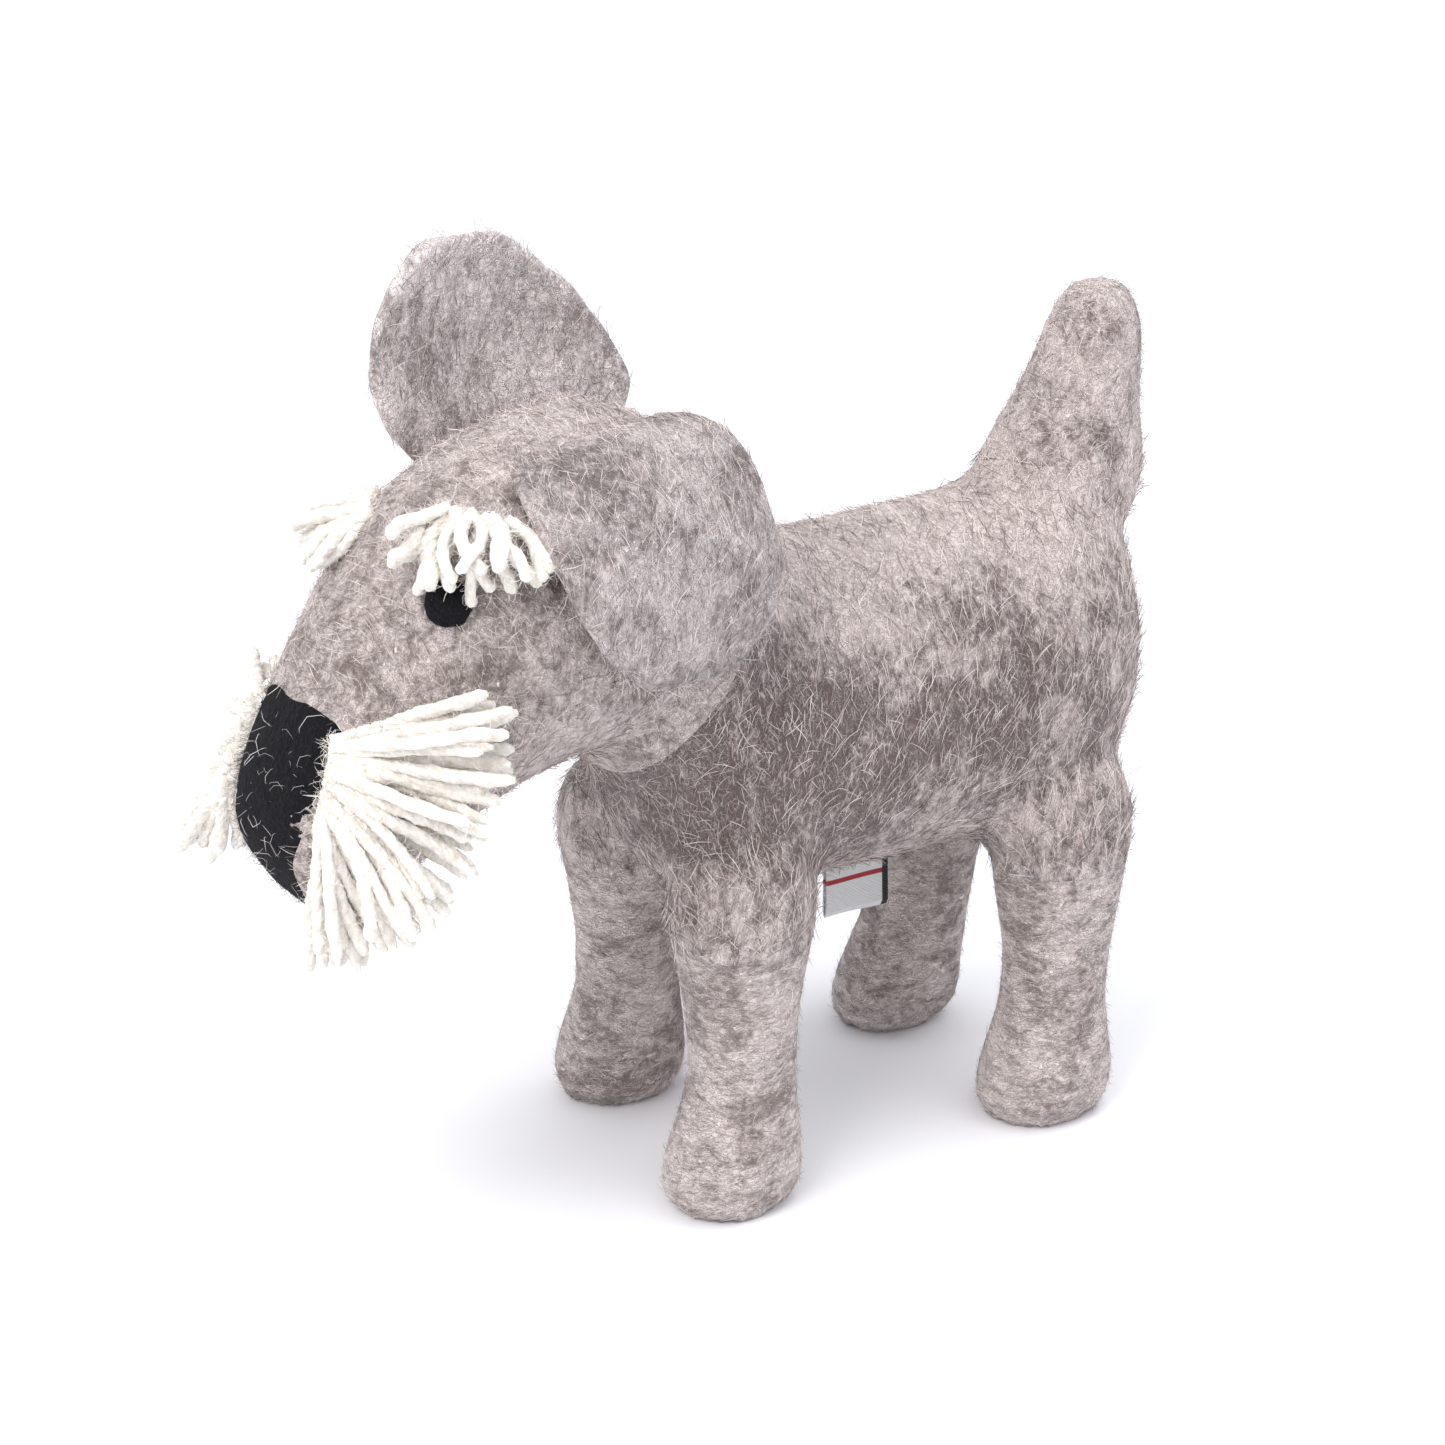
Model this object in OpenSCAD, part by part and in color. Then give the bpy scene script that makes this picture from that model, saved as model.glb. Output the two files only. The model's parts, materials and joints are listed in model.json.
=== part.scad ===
// Stuffed felt terrier: a sewn and brushed wool felt skin over loose wool stuffing,
// with flap ears, a black felt nose and eyes, and brows and a moustache of cut yarn.
// It stands on four legs and faces -Y, with +Z up and its left side on +X.
// Limbs, neck and tail end in round roots that bed in round hollows of the body.

/* [Felt] */
// Thickness of the grey skin felt
felt_t = 2.5; // [1.5:0.1:3.5]
// Thickness of the ear felt
ear_t = 3.2; // [2:0.1:4.5]
// Thickness of the black nose felt
nose_t = 1.8; // [1:0.1:3]
// Gap between the skin and its stuffing
fill_gap = 0.15; // [0.1:0.05:0.5]
// Gap between stuffed pieces that move against each other
joint_gap = 0.6; // [0.4:0.1:1.2]

/* [Body] */
// Length of the body from chest to rump
body_len = 118; // [98:1:142]
// Width of the body
body_w = 66; // [56:1:80]
// Height of the body from belly to back
body_h = 74; // [62:1:89]
// Height of the belly above the ground
belly_z = 57; // [46:1:70]
// Width of the panel sewn in between the legs
belly_panel_w = 30; // [20:1:40]

/* [Legs] */
// Width of a leg
leg_w = 26; // [21:1:32]
// Length of a foot
foot_len = 31; // [26:1:38]
// Distance between the hips of a pair of legs
hip_track = 47; // [40:1:57]
// Distance between the front and the hind hips
hip_base = 76; // [64:1:90]
// Radius of the round root of a leg
hip_r = 15.5; // [13:0.5:19]

/* [Neck] */
// Distance of the neck's centre behind the chest
neck_back = 12; // [8:1:18]
// Depth of the neck's centre below the back
neck_drop = 17; // [12:1:22]
// Radius of the neck
neck_r = 24; // [20:0.5:28]

/* [Head] */
// Length of the head along the line of the jaw
head_len = 113; // [96:1:135]
// Width of the head
head_w = 60; // [50:1:72]
// Height of the crown over the neck's centre, square to the jaw
head_up = 65; // [54:1:78]
// How far the jaw slopes down towards the nose
head_tilt = 30; // [20:1:38]
// Turn of the head to its left
head_turn = 8; // [0:1:20]
// Diameter of an eye
eye_d = 9.5; // [7:0.5:12]

/* [Ears] */
// Length of an ear from its root to its tip
ear_len = 42; // [35:1:51]
// Widest width of an ear
ear_w = 55; // [46:1:66]

/* [Yarn] */
// Length of the moustache strands
moustache_len = 32; // [26:1:39]
// Thickness of a moustache tuft
moustache_t = 7; // [4:0.5:9]
// Length of the eyebrow strands
brow_len = 13; // [11:1:16]
// Thickness of an eyebrow tuft
brow_t = 5; // [3:0.5:7]

/* [Tail] */
// Height of the tail above the back
tail_len = 43; // [36:1:52]
// Radius of the round root of the tail
tail_r = 17; // [14:0.5:20]

/* [Label] */
// Width of the folded tape label
label_w = 15; // [12:1:20]
// Length that the label hangs down
label_len = 14; // [10:1:20]
// Thickness of the folded tape
label_t = 1.2; // [0.8:0.1:2]

/* [Hidden] */
sides = 24;
far = 400;
felt_grey = "silver";
wool_white = "ivory";
felt_black = [0.11, 0.1, 0.13];

// Places: the front hips stand just ahead of the origin, and the body is hung from them
back_z = belly_z + body_h;
hip_z = belly_z + 5;
front_y = -2;
hind_y = front_y + hip_base;
chest_y = front_y - 17;
neck_at = [0, chest_y + neck_back, back_z - neck_drop];
tail_at = [0, chest_y + body_len - 12, back_z - 1];
// Slope of the neck, and the half angle of the wide cone that parts the body from the head
neck_up = 35;
neck_open = 77;

// A power that keeps its sign
function spow(x, p) = sign(x) * pow(abs(x), p);
function flat(list) = [for (row = list) for (item = row) item];
function column(rows, k) = [for (row = rows) [row[0], row[k]]];

// A closed oval of points round c, with half axes u and v; n = 2 is an ellipse and a larger n is squarer
function oval(c, u, v, n = 2) = [
    for (i = [0:sides - 1]) let (a = 360 * i / sides) c + u * spow(cos(a), 2 / n) + v * spow(sin(a), 2 / n)
];

// A closed skin through a row of rings
module loft(rings) {
    count = len(rings);
    out = cross(rings[0][1] - rings[0][0], rings[0][2] - rings[0][1]) * (rings[1][0] - rings[0][0]) > 0;
    quads = [
        for (r = [0:count - 2], i = [0:sides - 1])
        let (j = (i + 1) % sides, a = r * sides)
        [a + i, a + j, a + sides + j, a + sides + i]
    ];
    ends = [[for (i = [sides - 1:-1:0]) i], [for (i = [0:sides - 1]) (count - 1) * sides + i]];
    faces = concat(ends, [for (q = quads) [q[0], q[1], q[2]]], [for (q = quads) [q[0], q[2], q[3]]]);
    polyhedron(flat(rings), [for (f = faces) out ? [for (i = [len(f) - 1:-1:0]) f[i]] : f]);
}

// Moves a place along a form of the given length in from both ends by inset
function drawn_in(at, length, inset) = length / 2 + (at - length / 2) * (1 - 2 * inset / length);

// ---- Torso: share of the length, top and bottom as shares of the height, share of the width
torso_full = 2.35;
torso_rows = [
    [0.000, 0.66, 0.34, 0.26], [0.025, 0.80, 0.20, 0.56], [0.08, 0.92, 0.08, 0.80],
    [0.18, 0.98, 0.01, 0.95], [0.32, 0.98, 0.00, 1.00], [0.50, 0.98, 0.00, 1.00],
    [0.66, 0.98, 0.00, 0.98], [0.80, 1.00, 0.01, 0.93], [0.90, 1.01, 0.05, 0.82],
    [0.97, 0.94, 0.18, 0.58], [1.00, 0.80, 0.36, 0.28]
];
module torso_form(inset = 0)
    loft([for (row = torso_rows)
        let (back = drawn_in(row[0] * body_len, body_len, inset), half = (row[1] - row[2]) / 2 * body_h)
        oval([0, chest_y + back, belly_z + (row[1] + row[2]) / 2 * body_h],
             [-(row[3] * body_w / 2 - inset), 0, 0], [0, 0, half - inset], torso_full)]);

module ball(r) sphere(r, $fn = 48);
function hip(x, y) = [x * hip_track / 2, y, hip_z];
hips = [hip(1, front_y), hip(-1, front_y), hip(1, hind_y), hip(-1, hind_y)];

// A round hollow over the hip, open below with room for the leg to swing
hip_room = 2.5;
module hip_hollow() {
    ball(hip_r + joint_gap);
    mirror([0, 0, 1]) cylinder(h = hip_z, r = hip_r + hip_room, $fn = 48);
}
// A wide cone from the neck's centre that leaves room for the head to nod and turn
module neck_cone(way) translate(neck_at) rotate([90 - neck_up, 0, 0]) mirror([0, 0, way])
    cylinder(h = far, r1 = 0, r2 = far * tan(neck_open), $fn = 72);
module torso_cut() {
    translate(neck_at) ball(neck_r + joint_gap);
    translate(tail_at) ball(tail_r + joint_gap);
    for (at = hips) translate(at) hip_hollow();
}
module torso_skin() difference() {
    intersection() {
        torso_form();
        neck_cone(1);
    }
    torso_form(felt_t);
    torso_cut();
}
// The belly panel's sides rise a little way up between the legs
panel_rise = 12;
module belly_zone() translate([-belly_panel_w / 2, -far, -far])
    cube([belly_panel_w, 2 * far, far + belly_z + panel_rise]);
module half(side) translate([side > 0 ? 0 : -far, -far, -far]) cube([far, 2 * far, 2 * far]);

module torso_side(side) color(felt_grey) difference() {
    intersection() {
        torso_skin();
        half(side);
    }
    belly_zone();
}
module torso_side_left() torso_side(1);
module torso_side_right() torso_side(-1);
module belly_panel() color(felt_grey) intersection() {
    torso_skin();
    belly_zone();
}
module torso_stuffing() color(wool_white) difference() {
    intersection() {
        torso_form(felt_t + fill_gap);
        neck_cone(1);
    }
    torso_cut();
}

// ---- Neck: a felt band round a ball of stuffing
neck_band = 0.6;
module along_neck() translate(neck_at) rotate([90 - neck_up, 0, 0]) children();
module neck_skin() color(felt_grey) along_neck() difference() {
    ball(neck_r);
    ball(neck_r - felt_t);
    for (way = [0, 1]) mirror([0, 0, way]) translate([0, 0, neck_r * neck_band])
        cylinder(h = neck_r, r = neck_r, $fn = 48);
}
module neck_stuffing() color(wool_white) translate(neck_at) ball(neck_r - felt_t - fill_gap);

// ---- Head: share of the length, top as a share of head_up, bottom in mm, share of the width
glue_gap = 0.05;
head_rows = [
    [0.000, 0.56, 12, 0.36], [0.035, 0.70, -3, 0.64], [0.13, 0.86, -13, 0.87],
    [0.26, 0.96, -12, 0.97], [0.39, 1.00, -6, 1.00], [0.52, 0.98, 2, 0.95],
    [0.64, 0.91, 5, 0.85], [0.77, 0.80, 6, 0.75], [0.88, 0.70, 6, 0.66],
    [0.96, 0.60, 7, 0.54], [1.00, 0.48, 12, 0.34]
];
head_back = 22;
function head_s(share) = share * head_len - head_back;
function head_top(share) = lookup(share, column(head_rows, 1)) * head_up;
function head_low(share) = lookup(share, column(head_rows, 2));
function head_half(share) = lookup(share, column(head_rows, 3)) * head_w / 2;
function head_mid(share) = (head_top(share) + head_low(share)) / 2;
function head_rise(share) = (head_top(share) - head_low(share)) / 2;
head_full = 2.2;
// A point on the head's skin, at a share of its length and an angle up from its side
function head_point(share, a) = [
    head_half(share) * spow(cos(a), 2 / head_full),
    -head_s(share),
    head_mid(share) + head_rise(share) * spow(sin(a), 2 / head_full)
];

// Places its children at the neck's centre, turned as the head is
module on_head() translate(neck_at) rotate([0, 0, head_turn]) children();
module along_jaw() on_head() rotate([head_tilt, 0, 0]) children();
module head_form(inset = 0)
    loft([for (row = head_rows)
        oval([0, head_back - drawn_in(row[0] * head_len, head_len, inset), head_mid(row[0])],
             [head_half(row[0]) - inset, 0, 0], [0, 0, head_rise(row[0]) - inset], head_full)]);

module head_block(inset = 0) difference() {
    intersection() {
        along_jaw() head_form(inset);
        neck_cone(0);
    }
    translate(neck_at) ball(neck_r + joint_gap);
    for (side = [1, -1]) ear_slot(side);
}
module head_side(side) color(felt_grey) difference() {
    intersection() {
        head_block();
        on_head() half(side);
    }
    along_jaw() head_form(felt_t);
    along_jaw() eye_place(side) eye_solid(glue_gap);
}
module head_side_left() head_side(1);
module head_side_right() head_side(-1);
module head_stuffing() color(wool_white) difference() {
    head_block(felt_t + fill_gap);
    along_jaw() for (side = [1, -1]) eye_place(side) eye_solid(fill_gap);
}

// ---- Nose: a shield of black felt over the front of the muzzle. Half its outline is listed from its
// top to under the chin: half width in mm, height as a share of the muzzle's
nose_share = 0.74;
nose_half = [
    [0, 1.02], [7, 1.10], [13.5, 0.86], [11, 0.60], [8, 0.36], [6, 0.12], [4, -0.1], [0, -0.2]
];
muzzle_share = 0.9;
nose_tall = head_top(muzzle_share) - head_low(muzzle_share);
// The shield's outline, run out forwards
module nose_zone(grow = 0) translate([0, -head_s(nose_share) + grow, head_low(muzzle_share)])
    rotate([90, 0, 0]) linear_extrude(far) polygon(concat(
        [for (p = nose_half) [p[0] + grow, p[1] * nose_tall]],
        [for (i = [len(nose_half) - 1:-1:0]) [-nose_half[i][0] - grow, nose_half[i][1] * nose_tall]]
    ));
module nose_patch() color(felt_black) along_jaw() intersection() {
    difference() {
        head_form(-nose_t);
        head_form(-glue_gap);
    }
    nose_zone();
}

// ---- Eyes: round dots of black felt let into the face, turned a little forwards
eye_share = 0.53;
eye_angle = 50;
eye_turn = 22;
eye_t = 3;
module eye_place(side) mirror([side > 0 ? 0 : 1, 0, 0]) translate(head_point(eye_share, eye_angle))
    rotate([0, 0, -eye_turn]) rotate([0, 90 - eye_angle, 0]) children();
module eye_solid(grow = 0) translate([0, 0, -eye_t / 2 - grow])
    cylinder(h = eye_t + 2 * grow, d = eye_d + 2 * grow, $fn = 40);
module eye(side) color(felt_black) along_jaw() eye_place(side) eye_solid();
module eye_left() eye(1);
module eye_right() eye(-1);

// ---- Ears: flat felt flaps that hinge on the head's top along their roots
ear_x = head_w * 0.34;
ear_up = head_up * 0.62;
// How far ahead of the neck's centre the left and the right root lie
ear_ahead_left = 22;
ear_ahead_right = 17;
function ear_at(side) = [side * ear_x, side > 0 ? -ear_ahead_left : -ear_ahead_right, ear_up];
ear_root_w = ear_w * 0.74;
// Corners of the felt's cut edge
ear_full = 4;
// A root lies in a round slot that is longer and wider than it
slot_w = ear_w * 0.95;
slot_gap = 2.1;
// Share of the ear's length, width as a share of ear_w, how far its middle lies ahead of the root's
ear_rows = [
    [0.00, 0.74, 0], [0.12, 0.86, 0.3], [0.30, 0.96, 0.9], [0.50, 0.98, 1.8],
    [0.70, 0.86, 2.7], [0.86, 0.64, 3.3], [0.96, 0.38, 3.6], [1.00, 0.14, 3.8]
];
module ear_slot(side) on_head() translate(ear_at(side)) rotate([90, 0, 0])
    cylinder(h = slot_w, d = ear_t + 2 * slot_gap, center = true, $fn = 32);
// A flap along a bent line: each step turns by its share of bend and stays ear_t thick
function ear_spot(k, bend, from = [0, 0]) =
    k == 0 ? from :
    let (step = (ear_rows[k][0] - ear_rows[k - 1][0]) * ear_len, a = bend[k])
    ear_spot(k - 1, bend, from) + step * [sin(a), cos(a)];
module ear_flap(side, bend) on_head() translate(ear_at(side)) {
    rotate([90, 0, 0]) cylinder(h = ear_root_w, d = ear_t, center = true, $fn = 32);
    loft([for (k = [0:len(ear_rows) - 1])
        let (at = ear_spot(k, bend), a = bend[k], row = ear_rows[k])
        oval([side * at[0], -row[2], at[1]], [0, row[1] * ear_w / 2, 0],
             ear_t / 2 * [side * cos(a), 0, -sin(a)], ear_full)]);
}
// Each ear's slope at its rows, in degrees from straight up
ear_hanging = [90, 98, 131, 157, 169, 175, 178, 180];
ear_standing = [20, 20, 24, 22, 16, 10, 6, 4];
module ear_left() color(felt_grey) ear_flap(1, ear_hanging);
module ear_right() color(felt_grey) ear_flap(-1, ear_standing);

// ---- Yarn tufts: fans of cut strands that lie over the face
tuft_gap = 0.8;
fan_root = 2;
// A fan seen from the side, round the origin, from one angle to another: 0 is straight down, 90 is back
module fan(length, from, to) rotate([90, 0, 90]) linear_extrude(far)
    polygon(concat(
        [for (a = [to:-20:from]) fan_root * [sin(a), -cos(a)]],
        [for (i = [0:12]) let (a = from + (to - from) * i / 12) length * [sin(a), -cos(a)]]));
// A layer of the given thickness over one side of the face, as far in as x
module over_face(thick, x) intersection() {
    difference() {
        head_form(-tuft_gap - thick);
        head_form(-tuft_gap);
    }
    translate([x, -far, -far]) cube(2 * far);
}
moustache_x = 9;
moustache_root = head_point(0.89, 52);
module moustache(side) color(wool_white) along_jaw() mirror([side > 0 ? 0 : 1, 0, 0]) difference() {
    intersection() {
        over_face(moustache_t, moustache_x);
        translate([0, moustache_root[1], moustache_root[2]]) fan(moustache_len, -45, 100);
    }
    nose_zone(tuft_gap);
}
module moustache_left() moustache(1);
module moustache_right() moustache(-1);
brow_x = 7;
brow_root = head_point(0.54, 74);
module brow(side) color(wool_white) along_jaw() difference() {
    mirror([side > 0 ? 0 : 1, 0, 0]) intersection() {
        over_face(brow_t, brow_x);
        translate([0, brow_root[1], brow_root[2]]) fan(brow_len, -60, 80);
    }
    eye_place(side) eye_solid(tuft_gap);
}
module brow_left() brow(1);
module brow_right() brow(-1);

// ---- Legs: height, half width and half length as shares of leg_w, share of the toe's reach
leg_full = 2.2;
leg_rows = [
    [0, 0.40, 0.42, 1], [1.5, 0.47, 0.47, 1], [6, 0.51, 0.50, 1], [13, 0.50, 0.50, 0.7],
    [24, 0.47, 0.48, 0.15], [38, 0.48, 0.49, 0], [52, 0.52, 0.54, 0]
];
leg_tall = leg_rows[len(leg_rows) - 1][0];
// How far each foot stands out from under its hip, to the side and forwards
foot_out = [[4, 2], [4.5, -2], [1, 2], [-4, 8]];
module leg_form(k, inset = 0) {
    toe = (foot_len - leg_w) / 2;
    side = sign(hips[k][0]);
    root = hip_r - inset;
    loft(concat(
        [for (row = leg_rows)
            let (up = drawn_in(row[0], 2 * hip_z, inset), away = 1 - row[0] / leg_tall, ahead = toe * row[3])
            oval([hips[k][0] + side * foot_out[k][0] * away, hips[k][1] - foot_out[k][1] * away - ahead, up],
                 [row[1] * leg_w - inset, 0, 0], [0, row[2] * leg_w + ahead - inset, 0], leg_full)],
        [for (a = [0:20:80])
            oval(hips[k] + [0, 0, root * sin(a)], [root * cos(a), 0, 0], [0, root * cos(a), 0])]
    ));
}
module leg_skin(k) color(felt_grey) difference() {
    leg_form(k);
    leg_form(k, felt_t);
}
module leg_stuffing(k) color(wool_white) leg_form(k, felt_t + fill_gap);
module leg_skin_front_left() leg_skin(0);
module leg_skin_front_right() leg_skin(1);
module leg_skin_hind_left() leg_skin(2);
module leg_skin_hind_right() leg_skin(3);
module leg_stuffing_front_left() leg_stuffing(0);
module leg_stuffing_front_right() leg_stuffing(1);
module leg_stuffing_hind_left() leg_stuffing(2);
module leg_stuffing_hind_right() leg_stuffing(3);

// ---- Tail: share of the height, how far back, half width and half length
tail_rows = [
    [0.18, 1.0, 14.5, 16.0], [0.36, 3.0, 12.8, 14.0], [0.56, 5.8, 11.2, 11.6], [0.75, 7.5, 9.8, 9.8],
    [0.89, 8.0, 8.0, 8.0], [0.97, 8.3, 5.4, 5.2], [1.00, 8.5, 2.8, 2.6]
];
tip_inset = 2;
thinnest = 0.6;
module tail_form(inset = 0) {
    root = tail_r - inset;
    tall = tail_len - tip_inset - inset;
    loft(concat(
        [for (a = [-80:20:0])
            oval(tail_at + [0, 0, root * sin(a)], [root * cos(a), 0, 0], [0, root * cos(a), 0])],
        [for (row = tail_rows)
            oval(tail_at + [0, row[1], row[0] * tall],
                 [max(thinnest, row[2] - inset), 0, 0], [0, max(thinnest, row[3] - inset), 0])]
    ));
}
module tail_skin() color(felt_grey) difference() {
    tail_form();
    tail_form(felt_t);
}
module tail_stuffing() color(wool_white) tail_form(felt_t + fill_gap);

// ---- Label: a folded tape sewn into the slit, along the middle of the belly panel, that was closed last
label_gap = 0.1;
label_at = [0, front_y + 41, belly_z - label_t / 2 - label_gap];
module label() color(wool_white) translate(label_at) {
    rotate([90, 0, 0]) cylinder(h = label_w, d = label_t, center = true, $fn = 24);
    translate([-label_t / 2, -label_w / 2, -label_len]) cube([label_t, label_w, label_len]);
}

torso_side_left();
torso_side_right();
belly_panel();
torso_stuffing();
neck_skin();
neck_stuffing();
head_side_left();
head_side_right();
head_stuffing();
nose_patch();
eye_left();
eye_right();
ear_left();
ear_right();
brow_left();
brow_right();
moustache_left();
moustache_right();
leg_skin_front_left();
leg_skin_front_right();
leg_skin_hind_left();
leg_skin_hind_right();
leg_stuffing_front_left();
leg_stuffing_front_right();
leg_stuffing_hind_left();
leg_stuffing_hind_right();
tail_skin();
tail_stuffing();
label();
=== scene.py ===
"""A stuffed felt terrier: brushed wool over packed wool, flap ears, and brows and a moustache of yarn."""

import json
import math
import random

import bpy
from mathutils import Matrix, Vector

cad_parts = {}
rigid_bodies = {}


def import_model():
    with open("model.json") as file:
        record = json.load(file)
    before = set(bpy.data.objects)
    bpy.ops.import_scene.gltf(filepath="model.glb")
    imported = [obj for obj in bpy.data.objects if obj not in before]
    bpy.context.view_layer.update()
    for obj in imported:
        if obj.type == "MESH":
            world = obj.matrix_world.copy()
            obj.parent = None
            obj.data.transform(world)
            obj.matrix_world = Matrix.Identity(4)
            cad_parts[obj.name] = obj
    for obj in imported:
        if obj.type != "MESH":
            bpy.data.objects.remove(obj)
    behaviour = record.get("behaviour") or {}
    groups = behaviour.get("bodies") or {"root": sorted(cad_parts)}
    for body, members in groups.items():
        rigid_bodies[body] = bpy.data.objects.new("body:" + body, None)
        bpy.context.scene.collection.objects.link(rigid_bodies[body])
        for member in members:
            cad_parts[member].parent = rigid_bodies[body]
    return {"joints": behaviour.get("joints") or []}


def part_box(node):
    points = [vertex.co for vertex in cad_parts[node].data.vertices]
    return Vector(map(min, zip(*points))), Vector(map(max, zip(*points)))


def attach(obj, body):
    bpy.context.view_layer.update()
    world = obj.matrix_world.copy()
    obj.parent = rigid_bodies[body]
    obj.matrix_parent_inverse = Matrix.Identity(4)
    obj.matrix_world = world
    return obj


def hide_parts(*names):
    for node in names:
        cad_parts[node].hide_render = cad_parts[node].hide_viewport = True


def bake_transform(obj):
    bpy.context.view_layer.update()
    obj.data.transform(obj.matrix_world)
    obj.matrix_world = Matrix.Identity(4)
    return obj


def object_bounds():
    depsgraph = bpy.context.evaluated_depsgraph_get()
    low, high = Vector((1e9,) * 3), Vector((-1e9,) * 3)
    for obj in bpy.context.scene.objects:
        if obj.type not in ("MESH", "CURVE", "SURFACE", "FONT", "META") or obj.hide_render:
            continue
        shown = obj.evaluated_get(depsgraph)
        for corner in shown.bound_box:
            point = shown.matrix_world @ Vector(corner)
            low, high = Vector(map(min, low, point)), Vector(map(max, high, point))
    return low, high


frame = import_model()
cad_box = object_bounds()


# ---- Camera, floor and light
# A long lens looks down at the toy's left cheek and flank, as it stands on a pale floor in a tent of
# soft light that is strongest from above.
camera_turn = math.radians(60)
camera_lift = math.radians(23.3)
camera_reach = 0.8
field_width = 0.289
aim = (cad_box[0] + cad_box[1]) / 2 + Vector((0, 0.0064, -0.0049))
view_from = Vector((
    math.sin(camera_turn) * math.cos(camera_lift),
    -math.cos(camera_turn) * math.cos(camera_lift),
    math.sin(camera_lift),
))
bpy.ops.object.camera_add(location=aim + view_from * camera_reach)
camera = bpy.context.object
camera.rotation_euler = (-view_from).to_track_quat("-Z", "Y").to_euler()
camera.data.lens = camera.data.sensor_width * camera_reach / field_width
camera.data.clip_start = 0.01
bpy.context.scene.camera = camera
bpy.context.scene.view_settings.view_transform = "Standard"


class Shade:
    """A socket in a material's node tree. Arithmetic on it adds Math nodes, and node() adds any other."""

    def __init__(self, tree, socket=None):
        self.tree = tree
        self.socket = socket

    def node(self, kind, inputs, output=0, **settings):
        """Adds a node, sets it up, fills or links its sockets, and returns one of its outputs."""
        made = self.tree.nodes.new(kind)
        for name, value in settings.items():
            setattr(made, name, value)
        for name, value in inputs.items():
            if isinstance(value, Shade):
                self.tree.links.new(value.socket, made.inputs[name])
            else:
                made.inputs[name].default_value = value
        return None if output is None else Shade(self.tree, made.outputs[output])

    def sum(self, operation, first, second):
        return self.node("ShaderNodeMath", {0: first, 1: second}, operation=operation)

    def __add__(self, other):
        return self.sum("ADD", self, other)

    def __radd__(self, other):
        return self.sum("ADD", other, self)

    def __sub__(self, other):
        return self.sum("SUBTRACT", self, other)

    def __rsub__(self, other):
        return self.sum("SUBTRACT", other, self)

    def __mul__(self, other):
        return self.sum("MULTIPLY", self, other)

    def __rmul__(self, other):
        return self.sum("MULTIPLY", other, self)

    def between(self, low, high):
        """0 below low, 1 above high, and a straight line from one to the other."""
        inputs = {"Value": self, "From Min": low, "From Max": high}
        return self.node("ShaderNodeMapRange", inputs)

    def over(self, below, above):
        """The colour below where this mask is 0, and the colour above where it is 1."""
        return self.node("ShaderNodeMix", {0: self, 6: below, 7: above}, output=2, data_type="RGBA")


def new_material(name, colour, roughness, sheen=0.0):
    """A material with one colour, and the start of its node tree for what varies over it."""
    material = bpy.data.materials.new(name)
    material.use_nodes = True
    shader = material.node_tree.nodes["Principled BSDF"]
    shader.inputs["Base Color"].default_value = (*colour, 1)
    shader.inputs["Roughness"].default_value = roughness
    shader.inputs["Specular IOR Level"].default_value = 0.15
    shader.inputs["Sheen Weight"].default_value = sheen
    shader.inputs["Sheen Roughness"].default_value = 0.6
    return material, Shade(material.node_tree), shader


def finish_with(tree, shader, colour, height, depth):
    """Joins a varying colour, and a height that the light catches, to a material."""
    tree.tree.links.new(colour.socket, shader.inputs["Base Color"])
    bump = tree.node("ShaderNodeBump", {"Height": height, "Distance": depth, "Strength": 1.0})
    tree.tree.links.new(bump.socket, shader.inputs["Normal"])


floor_size = 6
floor_drop = 0.0003
bpy.ops.mesh.primitive_plane_add(size=floor_size, location=(0, 0, -floor_drop))
floor = bpy.context.object
floor.name = "floor"
floor_material, _, _ = new_material("pale_floor", (0.93, 0.93, 0.95), 0.8)
floor.data.materials.append(floor_material)

world = bpy.data.worlds.new("tent")
world.use_nodes = True
world.node_tree.nodes["Background"].inputs["Color"].default_value = (0.93, 0.95, 1, 1)
world.node_tree.nodes["Background"].inputs["Strength"].default_value = 1.0
bpy.context.scene.world = world


def add_softbox(place, size, power, colour):
    """A square light that faces the toy."""
    toy = (cad_box[0] + cad_box[1]) / 2
    bpy.ops.object.light_add(type="AREA", location=toy + Vector(place))
    lamp = bpy.context.object
    lamp.rotation_euler = (-Vector(place)).to_track_quat("-Z", "Y").to_euler()
    lamp.data.size = size
    lamp.data.energy = power
    lamp.data.color = colour


add_softbox((0.3, -0.8, 0.9), 0.8, 9, (1, 0.97, 0.94))
add_softbox((0.2, 0.4, 1.1), 0.9, 5, (0.98, 0.98, 1))


# ---- Stuffed body
# Grey felt is sewn into one skin and packed with wool, so body, neck, head, legs and tail swell into
# each other. The skin is made in one piece, puffed up, and parted where the stuffed pieces flex.
joints = {joint["name"]: joint for joint in frame["joints"]}
neck = Vector(joints["head_nod"]["pos_m"])
nod_axis = joints["head_nod"]["axis"]
neck_slope = math.radians(35)
head_turn = math.atan2(nod_axis[1], nod_axis[0])
head_tilt = math.radians(30)
upright_head = Matrix.Translation(neck) @ Matrix.Rotation(head_turn, 4, "Z")
jaw = upright_head @ Matrix.Rotation(head_tilt, 4, "X")
MM = 0.001


def finish_editing():
    """Leaves edit mode with nothing selected."""
    if bpy.context.mode != "OBJECT":
        bpy.ops.object.mode_set(mode="OBJECT")
    bpy.ops.object.select_all(action="DESELECT")


def pick(*objects):
    """Selects these objects only, the first of them active."""
    finish_editing()
    for item in objects:
        item.select_set(True)
    bpy.context.view_layer.objects.active = objects[0]


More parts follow.
